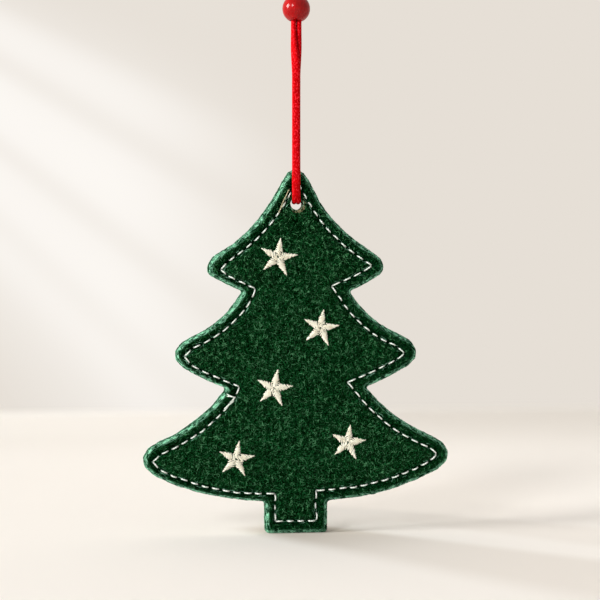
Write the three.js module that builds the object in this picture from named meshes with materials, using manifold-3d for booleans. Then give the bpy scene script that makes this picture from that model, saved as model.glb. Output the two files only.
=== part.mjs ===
// A felt christmas tree ornament on a red cord loop with a round bead.
// Millimetres, +Z up, the tree's front faces -Y. Heights are counted from the foot of the trunk,
// and the finished group is lowered so that its origin is where the loop hangs.

import * as THREE from 'three';
import { mergeVertices } from 'three/addons/utils/BufferGeometryUtils.js';
import Module from 'manifold-3d';

const wasm = await Module();
wasm.setup();

// Driving dimensions of the tree's outline, corners before rounding: three tiers over a trunk, from
// the foot up. A tier's lower edge lifts out to its tips, and its upper edges rise from there.
const trunkHalf = 10.9;
const trunkHeight = 11.3;
const bottomTipHalf = 64.1;
const bottomLift = 18.5;
const bottomRise = 22.3;
const middleNotchHalf = 24.9;
const middleReach = 26.8;
const middleLift = 15.6;
const middleRise = 18.9;
const topNotchHalf = 18.9;
const topReach = 15.7;
const topLift = 9.8;
const topRise = 43.1;

// How far each rounding reaches along the edges, and how far each edge bows out (positive) or in.
const apexRound = 14.2;
const topTipRound = 6.0;
const middleTipRound = 14.2;
const bottomTipRound = 14.8;
const notchRound = 0.9;
const trunkRound = 0.9;

const topUpperBow = -6.6;
const middleUpperBow = -4.9;
const bottomUpperBow = -4.6;
const topLowerBow = 0.9;
const middleLowerBow = 1.35;
const bottomLowerBow = 4.5;

// The corners' places that follow from them.
const bottomTipHeight = trunkHeight + bottomLift;
const middleNotchHeight = bottomTipHeight + bottomRise;
const middleTipHalf = middleNotchHalf + middleReach;
const middleTipHeight = middleNotchHeight + middleLift;
const topNotchHeight = middleTipHeight + middleRise;
const topTipHalf = topNotchHalf + topReach;
const topTipHeight = topNotchHeight + topLift;
const apexHeight = topTipHeight + topRise;

// The outline is cut a little unevenly: how much higher the right tips are than the left ones.
const middleTipSkew = 0.4;
const bottomTipSkew = 1.2;

// The two felt layers.
const feltThickness = 3.0;
const faceRound = 0.9;
const jointRound = 0.45;

// The hole for the cord, through both layers, as high up as the seam leaves room for it.
const holeRadius = 2.1;
const holeRim = 0.8;
const holeClearance = 0.05;

// The seam round the edge: cream thread lying in a groove that it pulls into the felt. It was sewn
// by hand and eye, so each edge has its own share of the inset, anticlockwise from the apex.
const seamInset = 4.0;
const seamInsetShares = [
  1.03, 0.58, 1.0, 0.52, 1.09, 0.73, 0.76,
  1.07,
  1.0, 0.99, 1.01, 1.0, 1.08, 1.03, 1.01,
];
const stitchPitch = 3.85;
const stitchGap = 1.7;
const threadThickness = 0.55;
const threadStandOut = 0.12;
const threadDip = 0.35;
const grooveDepth = 0.95;
const grooveWidth = 1.7;
const grooveFloorWidth = 1.0;
const seamTolerance = 0.15;

// Embroidered stars, each placed in a tier by its share of the tip's half width and of the rise.
const starRadius = 6.8;
const starThickness = 0.5;
const starTurn = THREE.MathUtils.degToRad(-10.5);
const starArms = 5;
const starValleyShare = 0.37;
const starDimpleShare = 0.35;
const starRidgeShares = [0.3, 0.72];
const topStarShares = [[-0.2, 0.053]];
const middleStarShares = [[0.163, 0.301]];
const bottomStarShares = [[-0.13, 0.991], [-0.3415, -0.131], [0.286, 0.109]];

// The cord is flat braid. Its route is one strand from the middle of the hole to the knot, the
// other strand is the same route turned half round the upright axis.
const cordWidth = 3.0;
const cordThickness = 1.6;
const cordSides = 8;
const strandRoute = [
  [0, 0, 118.35],
  [0, -1.7, 118.4],
  [0, -2.9, 118.75],
  [0, -3.85, 119.7],
  [0, -4.3, 121.4],
  [0, -4.35, 125],
  [0, -4.3, 129.5],
  [0, -3.9, 133.5],
  [0, -2.6, 139.5],
  [0, -1.35, 145],
  [0, -0.97, 150],
  [0, -0.95, 157],
  [0, -0.95, 163.5],
  [-0.36, -0.88, 168.5],
  [-0.82, -0.48, 174.5],
  [-0.95, -0.08, 180],
  [-0.95, 0, 186],
  [-0.95, 0, 192],
  [-0.98, 0, 198],
  [-2.3, 0, 203],
  [-5.1, 0, 208.5],
  [-7.4, 0, 215],
  [-7.9, 0, 221.5],
  [-6.6, 0, 228],
  [-4.1, 0, 233.5],
  [-1.9, 0, 237.5],
  [-1.0, 0, 240.5],
  [-0.95, 0, 242.5],
];
const bendPoints = 6;
const bendSteps = 2;

// The round bead that both strands pass through.
const beadRadius = 5.0;
const beadBore = 2.25;
const beadRim = 0.5;
const beadHeight = 187.9;
const beadSides = 28;
const beadSteps = 9;

// The overhand knot that joins the cord's ends, and its two short tails.
const knotHalfWidth = 4.1;
const knotHalfDepth = 3.0;
const knotHalfHeight = 3.6;
const knotWrapRadius = 3.3;
const knotWrapThickness = 1.9;
const knotWrapTilt = THREE.MathUtils.degToRad(28);
const knotWrapSpread = 1.1;
const knotGap = 0.3;
const tailLength = 8.0;
const tailSpread = 2.6;

// Where the loop hangs: inside the eye, close under the knot.
const hangHeight = 238.0;

const steps = { edge: 5, straight: 1, round: 4, notch: 2, hole: 20, fine: 5 };
const roundHandleShare = 0.46;

const felt = { color: 0x0f4429, roughness: 0.95, metalness: 0 };
const thread = { color: 0xe8e0c6, roughness: 0.7, metalness: 0 };
const cordRed = { color: 0xc8101b, roughness: 0.6, metalness: 0 };
const beadRed = { color: 0x9c0d10, roughness: 0.18, metalness: 0 };

// A closed surface made of rings of points, with bands between rings and caps across them.
class Skin {
  constructor() {
    this.places = [];
    this.triangles = [];
  }

  ring(points) {
    const first = this.places.length;
    this.places.push(...points);
    return points.map((point, index) => first + index);
  }

  band(from, to) {
    from.forEach((corner, index) => {
      const next = (index + 1) % from.length;
      this.triangles.push([corner, from[next], to[next]], [corner, to[next], to[index]]);
    });
  }

  fan(ring, flip) {
    for (let index = 1; index < ring.length - 1; index += 1) {
      const corners = [ring[0], ring[index], ring[index + 1]];
      this.triangles.push(flip ? corners.reverse() : corners);
    }
  }

  // A flat cap between an outline and a hole in it, both given as rings and as flat points.
  cap(outline, outlinePoints, hole, holePoints, flip) {
    const corners = [...outline, ...hole];
    const points = [...outlinePoints, ...holePoints];
    for (const face of THREE.ShapeUtils.triangulateShape([...outlinePoints], [[...holePoints]])) {
      const [a, b, c] = face.map((index) => points[index]);
      const turnsLeft = (b.x - a.x) * (c.y - a.y) - (b.y - a.y) * (c.x - a.x) > 0;
      const triangle = face.map((index) => corners[index]);
      this.triangles.push(turnsLeft === flip ? triangle.reverse() : triangle);
    }
  }

  volume() {
    return this.triangles.reduce((sum, [a, b, c]) => {
      const side = this.places[b].clone().cross(this.places[c]);
      return sum + this.places[a].dot(side) / 6;
    }, 0);
  }

  geometry() {
    if (this.volume() < 0) this.triangles.forEach((triangle) => triangle.reverse());
    const shape = new THREE.BufferGeometry();
    const numbers = this.places.flatMap((place) => place.toArray());
    shape.setAttribute('position', new THREE.Float32BufferAttribute(numbers, 3));
    shape.setIndex(this.triangles.flat());
    shape.computeVertexNormals();
    return shape;
  }
}

// One half of the outline, from the apex down to the foot.
const corners = [
  [0, apexHeight, 0, apexRound, topUpperBow],
  [topTipHalf, topTipHeight, 0, topTipRound, topLowerBow],
  [topNotchHalf, topNotchHeight, 0, notchRound, middleUpperBow],
  [middleTipHalf, middleTipHeight, middleTipSkew, middleTipRound, middleLowerBow],
  [middleNotchHalf, middleNotchHeight, 0, notchRound, bottomUpperBow],
  [bottomTipHalf, bottomTipHeight, bottomTipSkew, bottomTipRound, bottomLowerBow],
  [trunkHalf, trunkHeight, 0, notchRound, 0],
  [trunkHalf, 0, 0, trunkRound, 0],
].map(([half, height, skew, round, bow]) => ({ half, height, skew, round, bow }));

// All corners of the outline, anticlockwise as seen from the front, starting at the apex.
function outlineCorners() {
  const left = corners.map(({ half, height, skew, round, bow }) => (
    { place: new THREE.Vector2(-half, height - skew / 2), round, bow }
  ));
  const right = corners.slice(1).reverse().map(({ half, height, skew, round }, index, all) => {
    const above = corners[all.length - 1 - index];
    return { place: new THREE.Vector2(half, height + skew / 2), round, bow: above.bow };
  });
  return [...left, ...right];
}

function bowedEdge(start, end, bow) {
  const along = end.clone().sub(start);
  const outward = new THREE.Vector2(along.y, -along.x).normalize();
  const control = start.clone().add(end).multiplyScalar(0.5).addScaledVector(outward, 2 * bow);
  return new THREE.QuadraticBezierCurve(start, control, end);
}

function leftOf(direction) {
  return new THREE.Vector2(-direction.y, direction.x);
}

// Where a line is along its length, and which way is inwards there.
function sample(line, share) {
  return { point: line.getPoint(share), inward: leftOf(line.getTangent(share)) };
}

// The outline moved inwards by a small distance, in parts: each edge, and the rounding at its end.
function outlineParts(inset, fineness) {
  const sharp = outlineCorners();
  const edges = sharp.map(({ place, bow }, index) => bowedEdge(place, nextOf(sharp, index).place, bow));
  const moved = sharp.map(({ place, round }, index) => {
    const before = leftOf(previousOf(edges, index).getTangent(1));
    const after = leftOf(edges[index].getTangent(0));
    const share = inset / (1 + before.dot(after));
    const bend = Math.sqrt((1 - before.dot(after)) / (1 + before.dot(after)));
    const turn = Math.sign(before.cross(after)) * bend;
    return {
      place: place.clone().addScaledVector(before.add(after), share),
      round: Math.max(round - inset * turn, notchRound / 4),
    };
  });
  const lines = moved.map(({ place }, index) => {
    const next = nextOf(moved, index).place;
    const shrink = place.distanceTo(next) / edges[index].v0.distanceTo(edges[index].v2);
    return bowedEdge(place, next, sharp[index].bow * shrink * shrink);
  });
  return lines.map((line, index) => {
    const nextRound = nextOf(moved, index).round;
    const length = line.v0.distanceTo(line.v2);
    const from = moved[index].round / length;
    const to = 1 - nextRound / length;
    const edgeSteps = fineness * (sharp[index].bow === 0 ? steps.straight : steps.edge);
    const edge = Array.from({ length: edgeSteps + 1 }, (unused, step) => (
      sample(line, from + ((to - from) * step) / edgeSteps)
    ));
    const nextLine = nextOf(lines, index);
    const nextFrom = nextRound / nextLine.v0.distanceTo(nextLine.v2);
    const enter = line.getPoint(to);
    const leave = nextLine.getPoint(nextFrom);
    const handle = roundHandleShare * nextRound;
    const rounding = new THREE.CubicBezierCurve(
      enter,
      enter.clone().addScaledVector(line.getTangent(to), handle),
      leave.clone().addScaledVector(nextLine.getTangent(nextFrom), -handle),
      leave,
    );
    const small = nextOf(sharp, index).round <= notchRound;
    const cornerSteps = fineness * (small ? steps.notch : steps.round);
    const corner = Array.from({ length: cornerSteps - 1 }, (unused, step) => (
      sample(rounding, (step + 1) / cornerSteps)
    ));
    return { edge, corner, small, cornerPlace: nextOf(sharp, index).place };
  });
}

function treeOutline(inset) {
  const places = outlineParts(inset, 1).flatMap(({ edge, corner }) => [...edge, ...corner]);
  return places.map(({ point }) => point);
}

function distanceToLine(point, start, end) {
  const along = end.clone().sub(start);
  const share = point.clone().sub(start).dot(along) / along.lengthSq();
  return point.distanceTo(start.clone().addScaledVector(along, THREE.MathUtils.clamp(share, 0, 1)));
}

function nextOf(list, index) {
  return list[(index + 1) % list.length];
}

function previousOf(list, index) {
  return list[(index + list.length - 1) % list.length];
}

// Where two lines meet, each given by a point and the direction square to it.
function meeting(one, other) {
  const reach = other.point.clone().sub(one.point).dot(other.inward);
  const along = leftOf(one.inward);
  return one.point.clone().addScaledVector(along, reach / along.dot(other.inward));
}

// The seam's line: inside every edge by that edge's inset, with one turn at each corner. Where two
// stretches of it would cross or leave a gap, both run on straight until they meet, or at a tip
// until halfway there.
function seamPath() {
  const parts = outlineParts(0, steps.fine);
  const insets = seamInsetShares.map((share) => share * seamInset);
  const samples = parts.flatMap(({ edge, corner, small }, part) => {
    const round = small ? [] : corner;
    return [...edge, ...round].map(({ point, inward }, step) => {
      const share = Math.max(0, (step + 1 - edge.length) / (round.length + 1));
      const inset = THREE.MathUtils.lerp(insets[part], nextOf(insets, part), share);
      const moved = point.clone().addScaledVector(inward, inset);
      const ends = small && step === edge.length - 1;
      return { wall: point, point: moved, inward, inset, part, ends };
    });
  });
  const clear = samples.filter(({ point }) => samples.every(({ wall, inset }, index) => (
    distanceToLine(point, wall, nextOf(samples, index).wall) > inset - seamTolerance
  )));
  const path = clear.flatMap((place, index) => {
    const next = nextOf(clear, index);
    const unbroken = nextOf(samples, samples.indexOf(place)) === next;
    if (unbroken && !place.ends) return [place];
    const turn = meeting(place, next);
    if (!parts[place.part].small) turn.lerp(place.point.clone().add(next.point).multiplyScalar(0.5), 0.5);
    return [place, { point: turn, part: place.part, turns: true }];
  });
  parts.forEach(({ cornerPlace }, part) => {
    const near = path.filter((place) => place.part === part);
    const turns = near.filter((place) => place.turns);
    const gaps = near.map(({ point }) => point.distanceTo(cornerPlace));
    if (turns.length === 0) near[gaps.indexOf(Math.min(...gaps))].turns = true;
    turns.slice(1).forEach((place) => { place.turns = false; });
  });
  return path;
}

// How high the hole is: as high as the groove of the seam leaves it its rim and clearance.
function findHoleHeight() {
  const room = holeRadius + holeRim + holeClearance + grooveWidth / 2;
  let [low, high] = [topTipHeight, apexHeight];
  while (high - low > seamTolerance / 10) {
    const middle = new THREE.Vector2(0, (low + high) / 2);
    const gaps = needleHoles.map((hole, index) => distanceToLine(middle, hole, nextOf(needleHoles, index)));
    if (Math.min(...gaps) > room) low = middle.y;
    else high = middle.y;
  }
  return low;
}

function holeOutline(radius) {
  return Array.from({ length: steps.hole }, (unused, index) => {
    const angle = (index / steps.hole) * 2 * Math.PI;
    return new THREE.Vector2(radius * Math.cos(angle), holeHeight + radius * Math.sin(angle));
  });
}

// One felt layer, from the joint in the middle out to its face; side is -1 in front, 1 behind.
function feltLayer(side) {
  const skin = new Skin();
  const lift = (points, depth) => points.map(({ x, y }) => new THREE.Vector3(x, side * depth, y));
  const rounding = [1 / 3, 2 / 3, 1].map((share) => {
    const angle = (share * Math.PI) / 2;
    return [faceRound * (1 - Math.cos(angle)), feltThickness - faceRound * (1 - Math.sin(angle))];
  });
  const levels = [
    [jointRound, 0],
    [0, jointRound],
    [0, feltThickness - faceRound],
    ...rounding,
  ];
  const outlines = levels.map(([inset]) => treeOutline(inset));
  const rings = levels.map(([, depth], index) => skin.ring(lift(outlines[index], depth)));
  rings.slice(1).forEach((ring, index) => skin.band(rings[index], ring));

  const bore = [
    [holeRadius, 0],
    [holeRadius, feltThickness - holeRim],
    [holeRadius + holeRim * (1 - Math.SQRT1_2), feltThickness - holeRim * (1 - Math.SQRT1_2)],
    [holeRadius + holeRim, feltThickness],
  ];
  const circles = bore.map(([radius]) => holeOutline(radius));
  const holes = bore.map(([, depth], index) => skin.ring(lift(circles[index], depth)));
  holes.slice(1).forEach((ring, index) => skin.band(ring, holes[index]));

  const groove = [
    [-grooveWidth / 2, feltThickness],
    [-grooveFloorWidth / 2, feltThickness - grooveDepth],
    [grooveFloorWidth / 2, feltThickness - grooveDepth],
    [grooveWidth / 2, feltThickness],
  ];
  const paths = groove.map(([inset]) => movedPolygon(needleHoles, inset));
  const walls = groove.map(([, depth], index) => skin.ring(lift(paths[index], depth)));
  walls.slice(1).forEach((ring, index) => skin.band(walls[index], ring));

  skin.cap(rings[0], outlines[0], holes[0], circles[0], true);
  skin.cap(rings.at(-1), outlines.at(-1), walls[0], paths[0], false);
  skin.cap(walls.at(-1), paths.at(-1), holes.at(-1), circles.at(-1), false);
  return skin.geometry();
}

// The place at any distance along a closed outline.
function alongOutline(points) {
  const lengths = points.map((point, index) => point.distanceTo(nextOf(points, index)));
  const total = outlineLength(points);
  return (distance) => {
    let rest = ((distance % total) + total) % total;
    let index = 0;
    while (rest > lengths[index]) {
      rest -= lengths[index];
      index += 1;
    }
    return points[index].clone().lerp(nextOf(points, index), rest / lengths[index]);
  };
}

function outlineLength(points, closed = true) {
  const sides = closed ? points : points.slice(0, -1);
  return sides.reduce((sum, point, index) => sum + point.distanceTo(nextOf(points, index)), 0);
}

// The needle holes of the seam: one at each turn, and evenly long stitches between the turns.
function seamHoles() {
  const path = seamPath();
  const points = path.map(({ point }) => point);
  const placeAt = alongOutline(points);
  const length = outlineLength(points);
  const reached = points.map((point, index) => outlineLength(points.slice(0, index + 1), false));
  const turns = reached.filter((distance, index) => path[index].turns);
  return turns.flatMap((start, index) => {
    const end = turns[index + 1] ?? turns[0] + length;
    const stitches = Math.max(1, Math.round((end - start) / stitchPitch));
    return Array.from({ length: stitches }, (unused, step) => (
      placeAt(start + ((end - start) * step) / stitches)
    ));
  });
}

// A closed polygon with every side moved inwards by the same distance.
function movedPolygon(points, inset) {
  return points.map((point, index) => {
    const before = point.clone().sub(previousOf(points, index)).normalize();
    const after = nextOf(points, index).clone().sub(point).normalize();
    const inward = leftOf(before).add(leftOf(after));
    return point.clone().addScaledVector(inward, inset / (1 + before.dot(after)));
  });
}

// The seam's thread on one side: one unbroken loop of straight stitches that dips at each hole.
function seamThread(side) {
  const crest = feltThickness + threadStandOut - threadThickness / 2;
  const section = [[1, 0], [0, 1], [-1, 0], [0, -1]];
  const skin = new Skin();
  const ringAt = (centre, outward, depth) => skin.ring(section.map(([across, out]) => {
    const place = centre.clone().addScaledVector(outward, (across * threadThickness) / 2);
    return new THREE.Vector3(place.x, side * (depth + (out * threadThickness) / 2), place.y);
  }));
  const rings = needleHoles.flatMap((hole, index) => {
    const next = nextOf(needleHoles, index);
    const along = next.clone().sub(hole).normalize();
    const behind = hole.clone().sub(previousOf(needleHoles, index)).normalize();
    const end = next.clone().addScaledVector(along, -stitchGap / 2);
    return [
      ringAt(hole, leftOf(behind.add(along).normalize()), crest - threadDip),
      ringAt(hole.clone().addScaledVector(along, stitchGap / 2), leftOf(along), crest),
      ringAt(end, leftOf(along), crest),
    ];
  });
  rings.forEach((ring, index) => skin.band(ring, nextOf(rings, index)));
  return skin.geometry();
}

// A satin-stitched star: a flat base, a ridge down each arm and a dimple in the middle.
function star(place) {
  const skin = new Skin();
  const arm = (index, radius, depth) => {
    const angle = Math.PI / 2 + starTurn + (index / starArms) * 2 * Math.PI;
    return new THREE.Vector3(
      place.x + radius * Math.cos(angle),
      -feltThickness - depth,
      place.y + radius * Math.sin(angle),
    );
  };
  const indices = Array.from({ length: starArms }, (unused, index) => index);
  const tips = skin.ring(indices.map((index) => arm(index, starRadius, 0)));
  const valleys = skin.ring(indices.map((index) => arm(index + 0.5, starRadius * starValleyShare, 0)));
  const [rootShare, crownShare] = starRidgeShares;
  const roots = skin.ring(indices.map((index) => arm(index, starRadius * rootShare, starThickness)));
  const crowns = skin.ring(indices.map((index) => arm(index, starRadius * crownShare, starThickness)));
  const [dimple] = skin.ring([arm(0, 0, starThickness * starDimpleShare)]);
  const [base] = skin.ring([arm(0, 0, 0)]);
  indices.forEach((index) => {
    const next = (index + 1) % starArms;
    const before = (index + starArms - 1) % starArms;
    skin.triangles.push(
      [crowns[index], tips[index], valleys[index]],
      [roots[index], crowns[index], valleys[index]],
      [tips[index], crowns[index], valleys[before]],
      [crowns[index], roots[index], valleys[before]],
      [dimple, roots[index], valleys[index]],
      [dimple, valleys[index], roots[next]],
      [base, valleys[index], tips[index]],
      [base, tips[index], valleys[before]],
    );
  });
  return skin.geometry();
}

// A flat cord swept along a route. Its wide way lies level, square to the line to its twin strand.
function flatCord(places, wideWays) {
  const skin = new Skin();
  const rings = places.map((place, index) => {
    const ahead = places[Math.min(index + 1, places.length - 1)];
    const behind = places[Math.max(index - 1, 0)];
    const along = ahead.clone().sub(behind).normalize();
    const wide = wideWays[index];
    const thin = along.clone().cross(wide).normalize();
    return skin.ring(Array.from({ length: cordSides }, (unused, side) => {
      const angle = ((side + 0.5) / cordSides) * 2 * Math.PI;
      return place.clone()
        .addScaledVector(wide, (cordWidth / 2) * Math.cos(angle))
        .addScaledVector(thin, (cordThickness / 2) * Math.sin(angle));
    }));
  });
  rings.slice(1).forEach((ring, index) => skin.band(rings[index], ring));
  skin.fan(rings[0], true);
  skin.fan(rings.at(-1), false);
  return skin;
}

function wideWayOf(place) {
  const reach = Math.hypot(place.x, place.y);
  if (reach === 0) return new THREE.Vector3(1, 0, 0);
  return new THREE.Vector3(-place.y / reach, place.x / reach, 0);
}

// Both strands in one piece, from the knot down through the bead and the hole and up again.
function hangingCord() {
  const points = strandRoute.map(([x, y, height]) => new THREE.Vector3(x, y, height));
  const strand = new THREE.CatmullRomCurve3([turned(points[1]), ...points], false, 'centripetal');
  const last = points.length;
  const half = [];
  for (let index = 1; index < last; index += 1) {
    const count = index <= bendPoints ? bendSteps : 1;
    for (let step = 0; step < count; step += 1) {
      half.push(strand.getPoint((index + step / count) / last));
    }
  }
  half.push(points.at(-1));
  const ways = half.map(wideWayOf);
  const other = half.slice(1).reverse();
  return flatCord(
    [...other.map(turned), ...half],
    [...other.map(wideWayOf), ...ways],
  ).geometry();
}

function turned(place) {
  return new THREE.Vector3(-place.x, -place.y, place.z);
}

function bead() {
  const reach = Math.sqrt(beadRadius ** 2 - (beadBore + beadRim) ** 2);
  const end = Math.acos((beadBore + beadRim) / beadRadius);
  const profile = [];
  for (let step = 0; step <= beadSteps; step += 1) {
    const angle = end * ((2 * step) / beadSteps - 1);
    profile.push(new THREE.Vector2(beadRadius * Math.cos(angle), beadRadius * Math.sin(angle)));
  }
  profile.push(new THREE.Vector2(beadBore, reach - beadRim));
  profile.push(new THREE.Vector2(beadBore, beadRim - reach));
  profile.push(profile[0].clone());
  return new THREE.LatheGeometry(profile, beadSides).rotateX(Math.PI / 2);
}

function toSolid(geometry) {
  const bare = geometry.clone();
  bare.deleteAttribute('normal');
  bare.deleteAttribute('uv');
  const merged = mergeVertices(bare);
  return new wasm.Manifold(new wasm.Mesh({
    numProp: 3,
    vertProperties: merged.attributes.position.array,
    triVerts: Uint32Array.from(merged.index.array),
  }));
}

function toGeometry(solid) {
  const mesh = solid.getMesh();
  const shape = new THREE.BufferGeometry();
  shape.setAttribute('position', new THREE.Float32BufferAttribute(mesh.vertProperties, 3));
  shape.setIndex([...mesh.triVerts]);
  shape.computeVertexNormals();
  return shape;
}

// The knot: a rounded core, two tilted wraps round it, and the cord's two ends standing out on top.
function cordKnot() {
  const bottom = strandRoute.at(-1)[2] + knotGap;
  const middle = bottom + knotHalfHeight;
  const core = new THREE.SphereGeometry(1, 16, 10);
  core.rotateX(Math.PI / 2).scale(knotHalfWidth, knotHalfDepth, knotHalfHeight).translate(0, 0, middle);
  let knot = toSolid(core);
  for (const side of [-1, 1]) {
    const wrap = new THREE.TorusGeometry(knotWrapRadius, knotWrapThickness / 2, 6, 20);
    wrap.scale(1, knotHalfDepth / knotHalfWidth, 1).rotateY(side * knotWrapTilt);
    wrap.translate(0, 0, middle + side * knotWrapSpread);
    knot = knot.add(toSolid(wrap));
    const strandReach = Math.abs(strandRoute.at(-1)[0]);
    const tailRoute = new THREE.QuadraticBezierCurve3(
      new THREE.Vector3(side * strandReach, 0, middle),
      new THREE.Vector3(side * strandReach, 0, middle + knotHalfHeight),
      new THREE.Vector3(side * tailSpread, 0, middle + knotHalfHeight + tailLength),
    );
    const tail = tailRoute.getPoints(4);
    knot = knot.add(toSolid(flatCord(tail, tail.map(() => new THREE.Vector3(0, 1, 0))).geometry()));
  }
  return toGeometry(knot);
}

const needleHoles = seamHoles();
const holeHeight = findHoleHeight();
const tiers = [
  { half: topTipHalf, height: topTipHeight, rise: topRise, stars: topStarShares },
  { half: middleTipHalf, height: middleTipHeight, rise: middleRise, stars: middleStarShares },
  { half: bottomTipHalf, height: bottomTipHeight, rise: bottomRise, stars: bottomStarShares },
];
const starPlaces = tiers.flatMap(({ half, height, rise, stars }) => (
  stars.map(([across, up]) => new THREE.Vector2(across * half, height + up * rise))
));

const group = new THREE.Group();
const ornament = new THREE.Group();
ornament.position.z = -hangHeight;
group.add(ornament);

function place(name, geometry, finish, height = 0) {
  const mesh = new THREE.Mesh(geometry, new THREE.MeshStandardMaterial(finish));
  mesh.name = name;
  mesh.position.z = height;
  ornament.add(mesh);
}

place('felt_front', feltLayer(-1), felt);
place('felt_back', feltLayer(1), felt);
place('seam_thread_front', seamThread(-1), thread);
place('seam_thread_back', seamThread(1), thread);
starPlaces.forEach((centre, index) => place(`star_${index + 1}`, star(centre), thread));
place('hanging_cord', hangingCord(), cordRed);
place('bead', bead(), beadRed, beadHeight);
place('cord_knot', cordKnot(), cordRed);

export default group;
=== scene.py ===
import itertools
import math

import bmesh
import bpy
import numpy as np
from mathutils import Matrix, Vector
from mathutils.bvhtree import BVHTree


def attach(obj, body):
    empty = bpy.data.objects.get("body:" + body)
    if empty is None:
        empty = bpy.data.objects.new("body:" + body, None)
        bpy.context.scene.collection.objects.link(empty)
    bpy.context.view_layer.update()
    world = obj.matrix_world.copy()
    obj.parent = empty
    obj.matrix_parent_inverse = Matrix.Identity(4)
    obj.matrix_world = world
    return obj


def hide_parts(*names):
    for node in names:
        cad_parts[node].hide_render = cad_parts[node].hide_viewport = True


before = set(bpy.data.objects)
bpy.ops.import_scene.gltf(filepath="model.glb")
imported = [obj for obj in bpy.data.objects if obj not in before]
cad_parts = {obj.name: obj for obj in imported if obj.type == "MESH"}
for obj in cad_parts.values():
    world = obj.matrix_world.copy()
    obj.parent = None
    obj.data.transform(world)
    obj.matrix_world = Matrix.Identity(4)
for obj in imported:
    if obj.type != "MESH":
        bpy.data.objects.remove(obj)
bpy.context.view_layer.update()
mm = 0.001
footLevel = -0.238  # the foot's height below the point that the loop hangs from
print("frame loaded")


# small helpers

def level(height):
    return height * mm + footLevel


def place(points):
    # millimetres with the height from the foot, turned into metres in the frame
    spots = np.array(points, float) * mm
    spots[:, 2] += footLevel
    return spots


def smoothStep(low, high, value):
    share = np.clip((value - low) / (high - low), 0, 1)
    return share * share * (3 - 2 * share)


def bell(away, wide):
    return np.exp(-(away / wide) ** 2)


def unit(rows):
    return rows / np.maximum(np.linalg.norm(rows, axis=-1, keepdims=True), 1e-12)


def lengthsAlong(line):
    return np.concatenate([[0], np.cumsum(np.linalg.norm(np.diff(line, axis=0), axis=1))])


def lumps(spots, size, seed):
    # soft random bumps from -1 to 1, about one size apart
    table = np.random.default_rng(seed).uniform(-1, 1, (32, 32, 32))
    cell = np.floor(spots / size).astype(int)
    share = spots / size - cell
    share = share * share * (3 - 2 * share)
    total = np.zeros(len(spots))
    for corner in itertools.product((0, 1), repeat=3):
        x, y, z = ((cell + corner) % 32).T
        near = np.where(corner, share, 1 - share)
        total += near[:, 0] * near[:, 1] * near[:, 2] * table[x, y, z]
    return total


def smoothLine(points, step):
    # a centripetal Catmull-Rom line through the points, with points about a step apart
    spots = np.array(points, float)
    spots = np.vstack([2 * spots[0] - spots[1], spots, 2 * spots[-1] - spots[-2]])
    made = []
    for i in range(1, len(spots) - 2):
        a, b, c, d = spots[i - 1:i + 3]
        gaps = [max(np.linalg.norm(q - p), 1e-9) ** 0.5 for p, q in ((a, b), (b, c), (c, d))]
        k0, k1, k2, k3 = np.cumsum([0] + gaps)
        count = max(2, math.ceil(np.linalg.norm(c - b) / step))
        t = np.linspace(k1, k2, count, endpoint=False)[:, None]

        def between(p, q, low, high):
            return ((high - t) * p + (t - low) * q) / (high - low)

        ab, bc, cd = between(a, b, k0, k1), between(b, c, k1, k2), between(c, d, k2, k3)
        made.append(between(between(ab, bc, k0, k2), between(bc, cd, k1, k3), k1, k2))
    made.append(spots[-2][None])
    line = np.vstack(made)
    along = lengthsAlong(line)
    at = np.linspace(0, along[-1], max(2, round(along[-1] / step) + 1))
    return np.stack([np.interp(at, along, line[:, k]) for k in range(3)], axis=1)


def addObject(name, data):
    made = bpy.data.objects.new(name, data)
    bpy.context.collection.objects.link(made)
    return made


def toMesh(name, bm):
    mesh = bpy.data.meshes.new(name)
    bm.to_mesh(mesh)
    bm.free()
    return mesh


def smoothFaces(mesh):
    mesh.polygons.foreach_set("use_smooth", [True] * len(mesh.polygons))


def dress(piece, material, body):
    piece.data.materials.clear()
    piece.data.materials.append(material)
    smoothFaces(piece.data)
    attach(piece, body)


def finishPiece(name, bm, material, body, node):
    # a bmesh becomes a shown piece that rides on its body and stands for a CAD node
    piece = addObject(name, toMesh(name, bm))
    dress(piece, material, body)
    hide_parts(node)
    return piece


def newBm():
    # an empty bmesh with a UV map, for what is made of tubes
    bm = bmesh.new()
    return bm, bm.loops.layers.uv.new("UVMap")


def tube(bm, layer, line, wide, outline, sides):
    # a grid rolled round a line into a closed tube; outline gives the two offsets of each point
    made = bmesh.ops.create_grid(bm, x_segments=len(line) - 1, y_segments=sides, size=1)["verts"]
    tangent = unit(np.gradient(line, axis=0))
    wide = unit(wide - (wide * tangent).sum(1)[:, None] * tangent)
    thin = np.cross(tangent, wide)
    along = lengthsAlong(line)
    places = {v: (round((v.co.x + 1) / 2 * (len(line) - 1)), (v.co.y + 1) / 2) for v in made}
    ring = np.array([places[v][0] for v in made])
    turn = np.array([places[v][1] for v in made])
    a, b = outline(turn * 2 * math.pi, along[ring])
    spots = line[ring] + wide[ring] * a[:, None] + thin[ring] * b[:, None]
    for face in {f for v in made for f in v.link_faces}:
        for loop in face.loops:
            index, share = places[loop.vert]
            loop[layer].uv = (along[index] / mm, share)
    for v, spot in zip(made, spots):
        v.co = spot
    bmesh.ops.remove_doubles(bm, verts=made, dist=1e-8)


def roundOutline(radius, flat=1.0):
    # a round yarn, pressed thinner where flat is under 1
    def outline(turn, along):
        return np.cos(turn) * radius * mm, np.sin(turn) * radius * flat * mm
    return outline


def closeUp(bm):
    bmesh.ops.holes_fill(bm, edges=[e for e in bm.edges if e.is_boundary], sides=0)
    bmesh.ops.recalc_face_normals(bm, faces=bm.faces[:])


# materials: shader sums written as Python sums

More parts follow.
